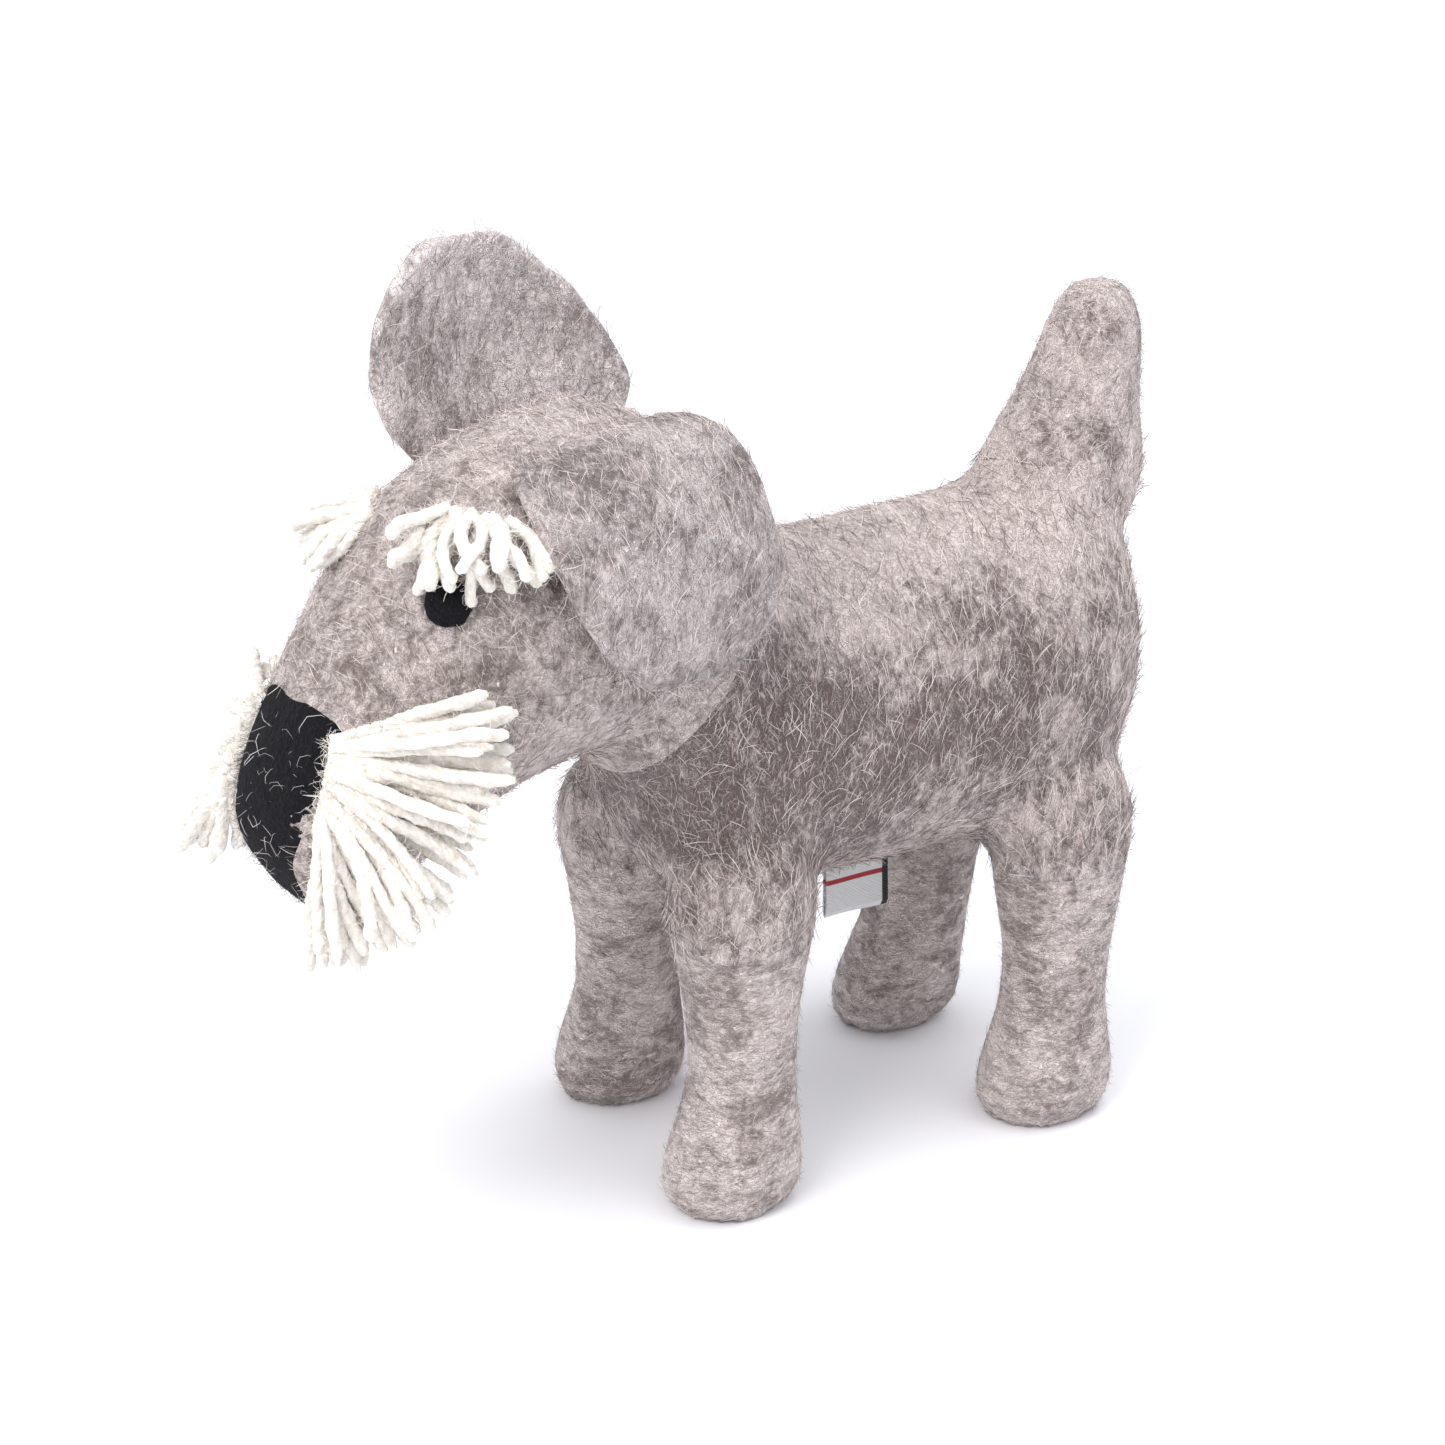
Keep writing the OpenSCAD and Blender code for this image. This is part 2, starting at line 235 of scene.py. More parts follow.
def modify(piece, kind, **settings):
    """Adds a modifier to a piece and applies it."""
    pick(piece)
    modifier = piece.modifiers.new(kind.lower(), kind)
    for name, value in settings.items():
        setattr(modifier, name, value)
    bpy.ops.object.modifier_apply(modifier=modifier.name)


def extrude_rows(rows):
    """Extrudes what is selected from row to row. A row is its centre and its half sizes along X, Y and Z."""
    for (centre, size), (next_centre, next_size) in zip(rows, rows[1:]):
        bpy.ops.mesh.extrude_region_move(TRANSFORM_OT_translate={"value": next_centre - centre})
        grow = [after / before for after, before in zip(next_size, size)]
        bpy.ops.transform.resize(value=grow, center_override=next_centre)


def stuffed_form(rows, turn):
    """A closed form through oval rows that lie across Z, or across Y after a quarter turn."""
    finish_editing()
    centre, size = rows[0]
    bpy.ops.mesh.primitive_circle_add(vertices=32, radius=1, fill_type="NGON", rotation=turn)
    bpy.ops.object.transform_apply(location=True, rotation=True, scale=True)
    form = bpy.context.object
    bpy.ops.object.mode_set(mode="EDIT")
    bpy.ops.transform.resize(value=size)
    bpy.ops.transform.translate(value=centre)
    extrude_rows(rows)
    bpy.ops.mesh.select_all(action="SELECT")
    bpy.ops.mesh.fill_holes(sides=0)
    bpy.ops.mesh.normals_make_consistent(inside=False)
    finish_editing()
    return form


across_y = (math.radians(90), 0, 0)
torso_low, torso_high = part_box("torso_side_left")
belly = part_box("belly_panel")[0].z
back_top = torso_high.z + 0.5 * MM
# Share of the length, top and bottom as shares of the height, half width as a share of its widest
torso_shape = [
    (0, 0.66, 0.34, 0.30), (0.025, 0.80, 0.20, 0.58), (0.08, 0.92, 0.08, 0.80), (0.18, 0.98, 0.01, 0.96),
    (0.32, 0.98, 0, 1), (0.50, 0.97, 0, 1), (0.66, 0.98, 0, 0.98), (0.80, 1, 0.01, 0.94),
    (0.90, 1.01, 0.05, 0.83), (0.97, 0.93, 0.18, 0.60), (1, 0.80, 0.36, 0.30),
]


def torso_row(along, top, bottom, width):
    """A row across the body, from its shares."""
    tall = back_top - belly
    length = torso_high.y - torso_low.y
    centre = Vector((0, torso_low.y + along * length, belly + (top + bottom) / 2 * tall))
    return centre, (width * torso_high.x, 1, (top - bottom) / 2 * tall)


torso_form = stuffed_form([torso_row(*row) for row in torso_shape], across_y)

# Along the jaw from the back of the skull, in millimetres: distance, top, bottom, half width
head_back = 22
head_shape = [
    (0, 36, 12, 11), (4, 46, -2, 19.5), (15, 56, -12, 26), (29, 62.5, -12, 29), (44, 65, -6, 30),
    (59, 63.5, 2, 28.5), (72, 59, 5, 25.5), (87, 52, 6, 22.5), (99.5, 45.5, 6, 20), (108.5, 39, 7, 16.5),
    (113, 31, 12, 10.5),
]
head_form = stuffed_form([
    (Vector((0, head_back - along, (top + bottom) / 2)) * MM, (half * MM, 1, (top - bottom) / 2 * MM))
    for along, top, bottom, half in head_shape
], across_y)
head_form.data.transform(jaw)

neck_middle = neck + Vector((0, 0, -0.002))
neck_size = (0.029, 0.027, 0.029)
bpy.ops.mesh.primitive_uv_sphere_add(segments=32, ring_count=20, radius=1, location=neck_middle)
neck_form = bpy.context.object
neck_form.scale = neck_size
bpy.ops.object.transform_apply(location=True, rotation=True, scale=True)

# Height, half width, half length, how far the ring's middle lies towards the toes, in millimetres
leg_shape = [
    (0, 10.5, 13.2, 2.5), (1.5, 12.2, 14.8, 2.5), (6, 13, 15.6, 2.5), (13, 12.4, 14.2, 1.8),
    (24, 10.8, 11.8, 0.4), (38, 11, 11.8, 0), (52, 13, 14, 0), (64, 14.5, 16, 0), (74, 12, 14, 0),
    (80, 6, 7, 0),
]
foot_half = 13.3
foot_half_long = 15.6
toe_ahead = 2.5
lean_height = 52
leg_names = ["front_left", "front_right", "hind_left", "hind_right"]
body_forms = [torso_form, head_form, neck_form]
for name in leg_names:
    low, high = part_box("leg_skin_" + name)
    hip = Vector(joints[f"leg_{name}_swing"]["pos_m"])
    side = 1 if hip.x > 0 else -1
    # The foot's outer edge and its heel are the box's own, and the leg leans from there to the hip
    foot_x = (high.x if side > 0 else low.x) - side * foot_half * MM
    foot_y = low.y + foot_half_long * MM + toe_ahead * MM
    rows = []
    for height, half, half_long, ahead in leg_shape:
        lean = max(0, 1 - height / lean_height)
        x = hip.x + (foot_x - hip.x) * lean
        y = hip.y + (foot_y - hip.y) * lean - ahead * MM
        rows.append((Vector((x, y, height * MM)), (half * MM, half_long * MM, 1)))
    body_forms.append(stuffed_form(rows, (0, 0, 0)))

# Height above the tail's root, how far back, half width and half length, in millimetres
tail_root = Vector(joints["tail_wag"]["pos_m"])
tail_shape = [
    (-14, -2, 10, 9), (-6, 0, 15.5, 16.5), (2, 0, 16.5, 18), (8, 1, 15, 16.6), (15, 3, 13, 14.2),
    (23, 5.6, 11.4, 11.8), (31, 7.3, 10, 9.8), (36.5, 8, 8.4, 8), (40, 8.4, 6, 5.6), (41.5, 8.6, 3, 2.8),
]
body_forms.append(stuffed_form([
    (tail_root + Vector((0, ahead, up)) * MM, (half * MM, half_long * MM, 1))
    for up, ahead, half, half_long in tail_shape
], (0, 0, 0)))

pick(*body_forms)
bpy.ops.object.join()
dog = bpy.context.object
dog.name = "dog_skin"
weld_size = 2.2 * MM
modify(dog, "REMESH", mode="VOXEL", voxel_size=weld_size)
modify(dog, "SMOOTH", factor=0.5, iterations=22)


def puff(piece, swell, cap):
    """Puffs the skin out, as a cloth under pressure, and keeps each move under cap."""
    rest = [vertex.co.copy() for vertex in piece.data.vertices]
    pick(piece)
    cloth = piece.modifiers.new("stuffing", "CLOTH")
    cloth.settings.use_pressure = True
    cloth.settings.uniform_pressure_force = swell
    cloth.settings.effector_weights.gravity = 0
    cloth.settings.quality = 6
    cloth.point_cache.frame_start = 1
    cloth.point_cache.frame_end = 14
    for step in range(1, 15):
        bpy.context.scene.frame_set(step)
    bpy.ops.object.modifier_apply(modifier=cloth.name)
    bpy.context.scene.frame_set(1)
    for vertex, place in zip(piece.data.vertices, rest):
        move = vertex.co - place
        if move.length > cap:
            vertex.co = place + move * (cap / move.length)


stuffing_swell = 2
most_swell = 1.2 * MM
puff(dog, stuffing_swell, most_swell)
lump_height = 1.6 * MM
lumps = bpy.data.textures.new("lumps", "CLOUDS")
lumps.noise_scale = 0.022
modify(dog, "DISPLACE", texture=lumps, strength=lump_height, mid_level=0.5, texture_coords="LOCAL")
# The soles are pressed flat where the dog stands on them
sole_press = 1 * MM
for vertex in dog.data.vertices:
    if vertex.co.z < sole_press:
        vertex.co.z = 0


def part_at(piece, point, normal, name):
    """Cuts a closed piece in two at a plane and closes both. The new piece is on the normal's side."""
    pick(piece)
    bpy.ops.object.duplicate()
    new = bpy.context.object
    new.name = new.data.name = name
    for half, drop_new in ((piece, True), (new, False)):
        pick(half)
        bpy.ops.object.mode_set(mode="EDIT")
        bpy.ops.mesh.select_all(action="SELECT")
        bpy.ops.mesh.bisect(
            plane_co=point, plane_no=normal, use_fill=True, clear_outer=drop_new, clear_inner=not drop_new
        )
        finish_editing()
    return new


# The skin is parted at the neck's middle and a band's width to either side of it, below the belly into four
# legs, and at the tail's foot
neck_way = Vector((0, -math.cos(neck_slope), math.sin(neck_slope)))
band = 15 * MM
leg_top = belly - 0.5 * MM
tail_base = tail_root.z + 7 * MM
legs_left = part_at(dog, (0, 0, leg_top), (0, 0, -1), "legs_left")
legs_right = part_at(legs_left, (0, 0, 0), (-1, 0, 0), "legs_right")
middle_y = (joints["leg_front_left_swing"]["pos_m"][1] + joints["leg_hind_left_swing"]["pos_m"][1]) / 2
legs = {
    "front_left": part_at(legs_left, (0, middle_y, 0), (0, -1, 0), "leg_front_left_felt"),
    "front_right": part_at(legs_right, (0, middle_y, 0), (0, -1, 0), "leg_front_right_felt"),
    "hind_left": legs_left,
    "hind_right": legs_right,
}
legs_left.name = "leg_hind_left_felt"
legs_right.name = "leg_hind_right_felt"
neck_rear = part_at(dog, neck - neck_way * band, neck_way, "neck_rear_felt")
neck_front = part_at(neck_rear, neck, neck_way, "neck_front_felt")
head = part_at(neck_front, neck + neck_way * band, neck_way, "head_felt")
tail = part_at(dog, (0, 0, tail_base), (0, 0, 1), "tail_felt")
torso = dog
torso.name = "torso_felt"


def wool_lines(tree, place, scale, offset, width):
    """Thin curling lines, as of loose fibres: a noise's halfway contours. Scale squeezes the place."""
    shift = (offset, 0, -offset)
    moved = tree.node("ShaderNodeMapping", {"Vector": place, "Scale": scale, "Location": shift})
    waves = tree.node("ShaderNodeTexNoise", {"Vector": moved, "Scale": 1, "Detail": 2, "Roughness": 0.55,
                                             "Distortion": 0.8})
    away = tree.sum("ABSOLUTE", waves - 0.5, 0)
    return 1 - away.between(width * 0.3, width)


def grey_felt_finish(name, pale, dark, grain, painted_light_and_shade=False):
    """Wool felt: pale fibres that cross over a darker layer, which shows in flecks where they are thin.
    Grain squeezes the fibres to run along the axis where it is smallest."""
    material, tree, shader = new_material(name, pale, 0.95, 0.3)
    place = tree.node("ShaderNodeTexCoord", {}, output=3)
    drawn = tree.node("ShaderNodeMapping", {"Vector": place, "Scale": [side * 0.62 for side in grain]})
    flecks = tree.node("ShaderNodeTexNoise", {"Vector": drawn, "Scale": 1, "Detail": 5, "Roughness": 0.7,
                                              "Distortion": 0.5})
    clouds = tree.node("ShaderNodeTexNoise", {"Vector": place, "Scale": 60, "Detail": 3})
    pits = tree.node("ShaderNodeTexNoise", {"Vector": place, "Scale": 700, "Detail": 3, "Roughness": 0.6})
    thick = flecks * 0.9 + clouds * 0.6 + pits * 0.4 - 0.17
    if painted_light_and_shade:
        # Painted light and shade: the back is made paler, a painted highlight where the light from above
        # falls, and a band low on the sides of the chest, under the ear, is darkened as painted shade. Above
        # the back's height the felt turns greyer again.
        height = tree.node("ShaderNodeSeparateXYZ", {"Vector": place}, output=2)
        along = tree.node("ShaderNodeSeparateXYZ", {"Vector": place}, output=1)
        painted_shade_band = 1 - tree.sum("ABSOLUTE", height - 0.098, 0).between(0.008, 0.03)
        painted_top_light = height.between(0.105, 0.128) * 0.14
        grey_tail = height.between(0.135, 0.15) * 0.10
        painted_shade_under_ear = painted_shade_band * (1 - along.between(0.0, 0.10)) * 0.25
        thick = thick + painted_top_light - grey_tail - painted_shade_under_ear
    shown = thick.between(0.62, 0.90)
    middle = [(one * 0.62 + other * 0.38) for one, other in zip(pale, dark)]
    layer = shown.over((*dark, 1), (*middle, 1))
    fine = wool_lines(tree, place, grain, 0, 0.030)
    finer = wool_lines(tree, place, [side * 1.5 for side in grain], 7, 0.034)
    web = tree.sum("MAXIMUM", fine, finer * 0.85)
    cover = tree.sum("MINIMUM", web * (0.35 + shown * 0.5) + thick.between(0.70, 1.05) * 0.75, 1)
    colour = cover.over(layer, (*pale, 1))
    height = web * 0.5 + pits * 0.8 + flecks * 0.6
    finish_with(tree, shader, colour, height, 0.0012)
    return material


felt_pale = (0.76, 0.655, 0.625)
felt_dark = (0.12, 0.082, 0.075)
# The flank's felt has painted light on it: a paler back, and a darker chest under the ear as painted shade.
flank_felt = grey_felt_finish("grey_felt_flank", felt_pale, felt_dark, (640, 460, 230), painted_light_and_shade=True)
leg_felt = grey_felt_finish("grey_felt_legs", (0.83, 0.725, 0.69), (0.20, 0.147, 0.133), (300, 300, 620))
head_felt = grey_felt_finish("grey_felt_head", (0.79, 0.685, 0.655), (0.18, 0.135, 0.122), (640, 560, 460))


# ---- Brushed wool
# The felt's surface is brushed until its fibres stand, pale and dark ones together. They lie round the
# body and legs as the wool was wrapped, and stay with the skin they grow from.
wool_shades = {
    "wool_0_dark": (0.15, 0.108, 0.098),
    "wool_1_grey": (0.38, 0.31, 0.29),
    "wool_2_pale": (0.66, 0.57, 0.54),
    "wool_3_white": (0.83, 0.75, 0.71),
}


def make_fibre(name, material, half_thick, bend):
    """One fibre of unit length: a thin spindle with its root at the origin, bent over towards its tip."""
    finish_editing()
    bpy.ops.mesh.primitive_uv_sphere_add(segments=3, ring_count=4, radius=0.5)
    fibre = bpy.context.object
    fibre.name = name
    fibre.scale = (half_thick * 2, half_thick * 2, 1)
    fibre.location = (0, 0, 0.5)
    bpy.ops.object.transform_apply(location=True, rotation=True, scale=True)
    modify(fibre, "SIMPLE_DEFORM", deform_method="BEND", deform_axis="X", angle=bend)
    fibre.data.materials.append(material)
    return fibre


def make_bundle(name, shades, half_thick, bend, sheen=0.2):
    """A hidden collection of fibres, the darkest first."""
    bundle = bpy.data.collections.new(name)
    for shade, colour in shades.items():
        material, _, _ = new_material(shade, colour, 0.9, sheen)
        fibre = make_fibre(name + "_" + shade, material, half_thick, bend)
        for owner in fibre.users_collection:
            owner.objects.unlink(fibre)
        bundle.objects.link(fibre)
    return bundle


wool_bundle = make_bundle("wool", wool_shades, 0.0115, 0.55)
most_corners = 6.5
sole_height = 0.0006


def brush(skin, name, bundle, each_mm2, length, wrap, lift, stray, seed, patchy=1.6, bare_under=()):
    """Fibres over a skin's outer faces. They lie across the wrap axis, lift from the skin, and stray at
    random. None grow where the skin lies under a piece in bare_under."""
    pick(skin)
    bpy.ops.object.duplicate()
    fuzz = bpy.context.object
    fuzz.name = fuzz.data.name = name
    tree = bpy.data.node_groups.new(name, "GeometryNodeTree")
    tree.interface.new_socket("Geometry", in_out="INPUT", socket_type="NodeSocketGeometry")
    tree.interface.new_socket("Geometry", in_out="OUTPUT", socket_type="NodeSocketGeometry")
    start = Shade(tree)
    source = start.node("NodeGroupInput", {})
    place = start.node("GeometryNodeInputPosition", {})
    height = start.node("ShaderNodeSeparateXYZ", {"Vector": place}, output=2)
    corners = start.node("GeometryNodeInputMeshFaceNeighbors", {})
    # A cut and a yarn's end are closed by one face of many corners, and a sole lies on the floor
    cut_face = start.sum("GREATER_THAN", corners, most_corners)
    closing = start.sum("MAXIMUM", cut_face, start.sum("LESS_THAN", height, sole_height))
    outer = start.node("GeometryNodeDeleteGeometry", {"Geometry": source, "Selection": closing},
                       domain="FACE")
    scatter = start.node("GeometryNodeDistributePointsOnFaces",
                         {"Mesh": outer, "Density": each_mm2 * 1e6, "Seed": seed})
    points = scatter
    normal = Shade(tree, scatter.socket.node.outputs["Normal"])
    for cover in bare_under:
        covering = start.node("GeometryNodeObjectInfo", {"Object": cover}, output="Geometry")
        gap = start.node("GeometryNodeProximity", {"Geometry": covering}, output="Distance")
        points = start.node("GeometryNodeDeleteGeometry",
                            {"Geometry": points, "Selection": start.sum("LESS_THAN", gap, 1.0 * MM)})
    across = start.node("ShaderNodeVectorMath", {0: normal, 1: wrap}, operation="CROSS_PRODUCT")
    rising = start.node("ShaderNodeVectorMath", {0: normal, "Scale": lift}, operation="SCALE")
    loose = start.node("FunctionNodeRandomValue",
                       {"Min": (-stray,) * 3, "Max": (stray,) * 3, "Seed": seed + 1},
                       data_type="FLOAT_VECTOR")
    way = start.node("ShaderNodeVectorMath", {0: across, 1: rising}, operation="ADD")
    astray = start.node("ShaderNodeVectorMath", {0: normal, 1: loose}, operation="CROSS_PRODUCT")
    way = start.node("ShaderNodeVectorMath", {0: way, 1: astray}, operation="ADD")
    turn = start.node("FunctionNodeAlignRotationToVector", {"Vector": way}, axis="Z")
    roll = start.node("FunctionNodeRandomValue", {2: 0.0, 3: 6.28, "Seed": seed + 2}, output=1)
    rolled = start.node("FunctionNodeAxisAngleToRotation", {"Axis": (0, 0, 1), "Angle": roll})
    turn = start.node("FunctionNodeRotateRotation", {"Rotation": turn, "Rotate By": rolled},
                      rotation_space="LOCAL")
    patches = start.node("ShaderNodeTexNoise",
                         {"Vector": place, "Scale": 190, "Detail": 4, "Roughness": 0.62})
    chance = start.node("FunctionNodeRandomValue", {2: 0.0, 3: 1.0, "Seed": seed + 3}, output=1)
    shade = start.sum("FLOOR", (chance + (patches - 0.5) * patchy) * len(bundle.objects), 0)
    shade = start.sum("MAXIMUM", start.sum("MINIMUM", shade, len(bundle.objects) - 1), 0)
    fibres = start.node("GeometryNodeCollectionInfo",
                        {"Collection": bundle, "Separate Children": True, "Reset Children": True})
    size = start.node("FunctionNodeRandomValue",
                      {2: length * 0.55, 3: length * 1.35, "Seed": seed + 4}, output=1)
    placed = start.node("GeometryNodeInstanceOnPoints", {
        "Points": points, "Instance": fibres, "Pick Instance": True, "Instance Index": shade,
        "Rotation": turn, "Scale": size,
    })
    grown = start.node("GeometryNodeRealizeInstances", {"Geometry": placed})
    start.node("NodeGroupOutput", {"Geometry": grown}, output=None)
    modify(fuzz, "NODES", node_group=tree)
    bpy.data.node_groups.remove(tree)
    return fuzz


def dress(skin, material, wrap, each_mm2, length, lift, stray, seed, layers=1, bare_under=()):
    """Gives a stuffed skin its felt finish and its brushed wool, and returns them together."""
    skin.data.materials.clear()
    skin.data.materials.append(material)
    pick(skin)
    bpy.ops.object.shade_smooth()
    coats = [skin]
    for layer in range(layers):
        name = skin.name.replace("_felt", "_wool") + ("_" + str(layer + 1) if layers > 1 else "")
        coats.append(brush(skin, name, wool_bundle, each_mm2 / layers, length, wrap, lift, stray,
                           seed + 10 * layer, bare_under=bare_under))
    return coats


along_body = (0, 1, 0)
upright = (0, 0, 1)
jaw_way = tuple(jaw.to_3x3() @ Vector((0, 1, 0)))
torso_coats = dress(torso, flank_felt, along_body, 0.85, 4.6 * MM, 0.05, 0.7, 11, layers=3)
neck_rear_coats = dress(neck_rear, flank_felt, along_body, 0.85, 4.2 * MM, 0.05, 0.7, 71)
neck_front_coats = dress(neck_front, head_felt, along_body, 0.85, 4.2 * MM, 0.05, 0.7, 81)
tail_coats = dress(tail, flank_felt, upright, 0.95, 3.4 * MM, 0.05, 0.8, 91)
leg_coats = {
    name: dress(leg, leg_felt, upright, 1.0, 2.7 * MM, 0.02, 0.7, 101 + 10 * place)
    for place, (name, leg) in enumerate(legs.items())
}

# What grows at the edge of a sole is pressed up by the floor
off_floor = 0.1 * MM
for _, wool in leg_coats.values():
    for vertex in wool.data.vertices:
        vertex.co.z = max(vertex.co.z, off_floor)

for coat in torso_coats:
    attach(coat, "torso")
for coat in neck_rear_coats:
    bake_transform(coat)
for coat in neck_front_coats:
    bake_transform(coat)
for coat in tail_coats:
    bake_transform(coat)
for name, coats in leg_coats.items():
    hip = Vector(joints[f"leg_{name}_swing"]["pos_m"])
    for coat in coats:
        "leg_" + name
        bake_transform(coat)

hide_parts("torso_side_left", "torso_side_right", "belly_panel", "torso_stuffing")
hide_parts("neck_skin")
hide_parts("neck_stuffing")
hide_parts("tail_skin", "tail_stuffing")
for name, coats in leg_coats.items():
    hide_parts("leg_skin_" + name, "leg_stuffing_" + name)


# ---- Ears
# Each ear is a thick flap of the same felt. The left one lies over the crown and hangs at the cheek, and the
# right one stands up.
def face_outwards(piece):
    """Turns a closed piece's faces outwards."""
    pick(piece)
    bpy.ops.object.mode_set(mode="EDIT")
    bpy.ops.mesh.select_all(action="SELECT")
    bpy.ops.mesh.normals_make_consistent(inside=False)
    finish_editing()


def make_flap(name, rows, bulge, thick):
    """A felt flap through rows of its front edge, its back edge and its middle's bow, in millimetres."""
    finish_editing()
    across = 8
    bpy.ops.mesh.primitive_grid_add(x_subdivisions=across, y_subdivisions=len(rows) - 1, size=1)
    flap = bpy.context.object
    flap.name = flap.data.name = name
    # The grid's points come row by row, from the first row's front edge
    for place, vertex in enumerate(flap.data.vertices):
        front, rear, bow = rows[place // (across + 1)]
        share = place % (across + 1) / across
        middle = math.sin(math.pi * share)
        vertex.co = (Vector(front).lerp(Vector(rear), share) + Vector(bulge) * bow * middle) * MM
    modify(flap, "SOLIDIFY", thickness=thick, offset=0)
    modify(flap, "SUBSURF", levels=3, render_levels=3)
    ruffle = bpy.data.textures.new(name + "_ruffle", "CLOUDS")
    ruffle.noise_scale = 0.016
    modify(flap, "DISPLACE", texture=ruffle, strength=2.2 * MM, mid_level=0.5, texture_coords="LOCAL")
    face_outwards(flap)
    return flap


ear_thick = 3.4 * MM
left_ear_rows = [
    ((12, -46, 158), (8, -12, 161), 2), ((20, -50, 160), (15, -6, 164), 4),
    ((30, -51, 155.5), (25, -2.5, 160), 5), ((37.5, -50, 148), (32, -1, 151.5), 5),
    ((41, -46, 139), (36, -0.5, 140), 4), ((41, -42, 131), (37, -3, 130), 3),
    ((40, -37.5, 124.5), (37, -10, 122), 2), ((38.5, -31, 120.5), (37, -18, 119), 1),
]
right_ear_rows = [
    ((-17, -49, 148), (-24, -2, 149), 3), ((-17.3, -56, 157), (-25.5, 1.5, 156), 5),
    ((-17.3, -59.5, 166), (-25.5, -1, 164), 6), ((-17.5, -60, 174), (-25, -6.5, 172), 6),
    ((-17.7, -58, 182), (-24, -14, 180.5), 5), ((-18.4, -52.5, 189.5), (-23, -22, 188), 4),
    ((-19.5, -46, 194), (-22, -31, 193.6), 2),
]
ear_grain = (480, 480, 240)
# Both ears are one felt in two copies: the hanging ear's is darkened as painted shade, and the standing ear's
# is made paler as painted light, on a face the key lamp hardly reaches.
hanging_ear_felt = grey_felt_finish("hanging_ear_felt", (0.67, 0.595, 0.58), (0.14, 0.108, 0.102), ear_grain)
standing_ear_felt = grey_felt_finish("standing_ear_felt", (0.98, 0.89, 0.87), (0.27, 0.22, 0.21), ear_grain)
ear_left = make_flap("ear_left_felt", left_ear_rows, (0.75, 0, 0.65), ear_thick)
ear_right = make_flap("ear_right_felt", right_ear_rows, (-1, 0.1, 0), ear_thick)
left_ear_coats = dress(ear_left, hanging_ear_felt, along_body, 0.9, 3.8 * MM, 0.05, 0.7, 151)
right_ear_coats = dress(ear_right, standing_ear_felt, along_body, 0.95, 3.4 * MM, 0.06, 0.9, 161)
for coat in left_ear_coats:
    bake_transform(coat)
for coat in right_ear_coats:
    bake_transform(coat)
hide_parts("ear_left")
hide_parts("ear_right")


# ---- Nose
# A shield of black felt is sewn over the end of the muzzle, from its broad lobes down to a tail at the
# chin. A few pale hairs of the muzzle have worked through it.
# Height on the muzzle and half width, in millimetres
nose_rows = [
    (49.8, 3.2), (49.2, 6.8), (47.9, 10.3), (45.9, 13.4), (43.2, 15.6), (40, 16.2), (36.8, 14.9),
    (33.4, 12.2), (29.5, 9.6), (25, 7.8), (20, 6.6), (15, 5.6), (10.5, 4.4), (7.2, 2.2),
]
finish_editing()
columns = 14
bpy.ops.mesh.primitive_grid_add(x_subdivisions=columns, y_subdivisions=len(nose_rows) - 1, size=1)
nose = bpy.context.object
nose.name = nose.data.name = "nose_felt"
for place, vertex in enumerate(nose.data.vertices):
    height, half = nose_rows[place // (columns + 1)]
    share = place % (columns + 1) / columns * 2 - 1
    vertex.co = Vector((half * share, -130, height)) * MM
nose.matrix_world = jaw
modify(nose, "SUBSURF", levels=1, render_levels=1)
modify(nose, "SHRINKWRAP", target=head, wrap_method="PROJECT", use_project_y=True, use_project_x=False,
       use_project_z=False, use_negative_direction=False, use_positive_direction=True, offset=0.3 * MM)
pick(nose)
bpy.ops.object.transform_apply(location=True, rotation=True, scale=True)
modify(nose, "SMOOTH", factor=0.5, iterations=3)
modify(nose, "SOLIDIFY", thickness=1.8 * MM, offset=1)
modify(nose, "SUBSURF", levels=1, render_levels=1)
face_outwards(nose)
black_felt, tree, shader = new_material("black_felt", (0.012, 0.011, 0.016), 0.95, 0.03)
place = tree.node("ShaderNodeTexCoord", {}, output=3)
pile = tree.node("ShaderNodeTexNoise", {"Vector": place, "Scale": 900, "Detail": 4, "Roughness": 0.7})
lumpy = tree.node("ShaderNodeTexNoise", {"Vector": place, "Scale": 160, "Detail": 2})
faded = pile.between(0.5, 0.85).over((0.006, 0.0055, 0.008, 1), (0.022, 0.020, 0.028, 1))
finish_with(tree, shader, faded, pile + lumpy, 0.0020)
nose.data.materials.clear()
nose.data.materials.append(black_felt)
pick(nose)
bpy.ops.object.shade_smooth()
black_bundle = make_bundle("pile", {
    "pile_0_black": (0.010, 0.009, 0.013), "pile_1_black": (0.02, 0.018, 0.024),
    "pile_2_black": (0.014, 0.012, 0.017), "pile_3_black": (0.028, 0.026, 0.032),
}, 0.012, 2.4, sheen=0)
fluff_shades = {"fluff_0": (0.45, 0.42, 0.42), "fluff_1": (0.62, 0.58, 0.57)}
fluff_bundle = make_bundle("fluff", fluff_shades, 0.010, 2.6)
nose_pile = brush(nose, "nose_pile", black_bundle, 0.9, 2.4 * MM, jaw_way, 0.12, 0.9, 171, patchy=0.0)
nose_fluff = brush(nose, "nose_fluff", fluff_bundle, 0.07, 6 * MM, jaw_way, 0.12, 1.2, 176, patchy=0.0)
for piece in (nose, nose_pile, nose_fluff):
    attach(piece, "head")
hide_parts("nose_patch")


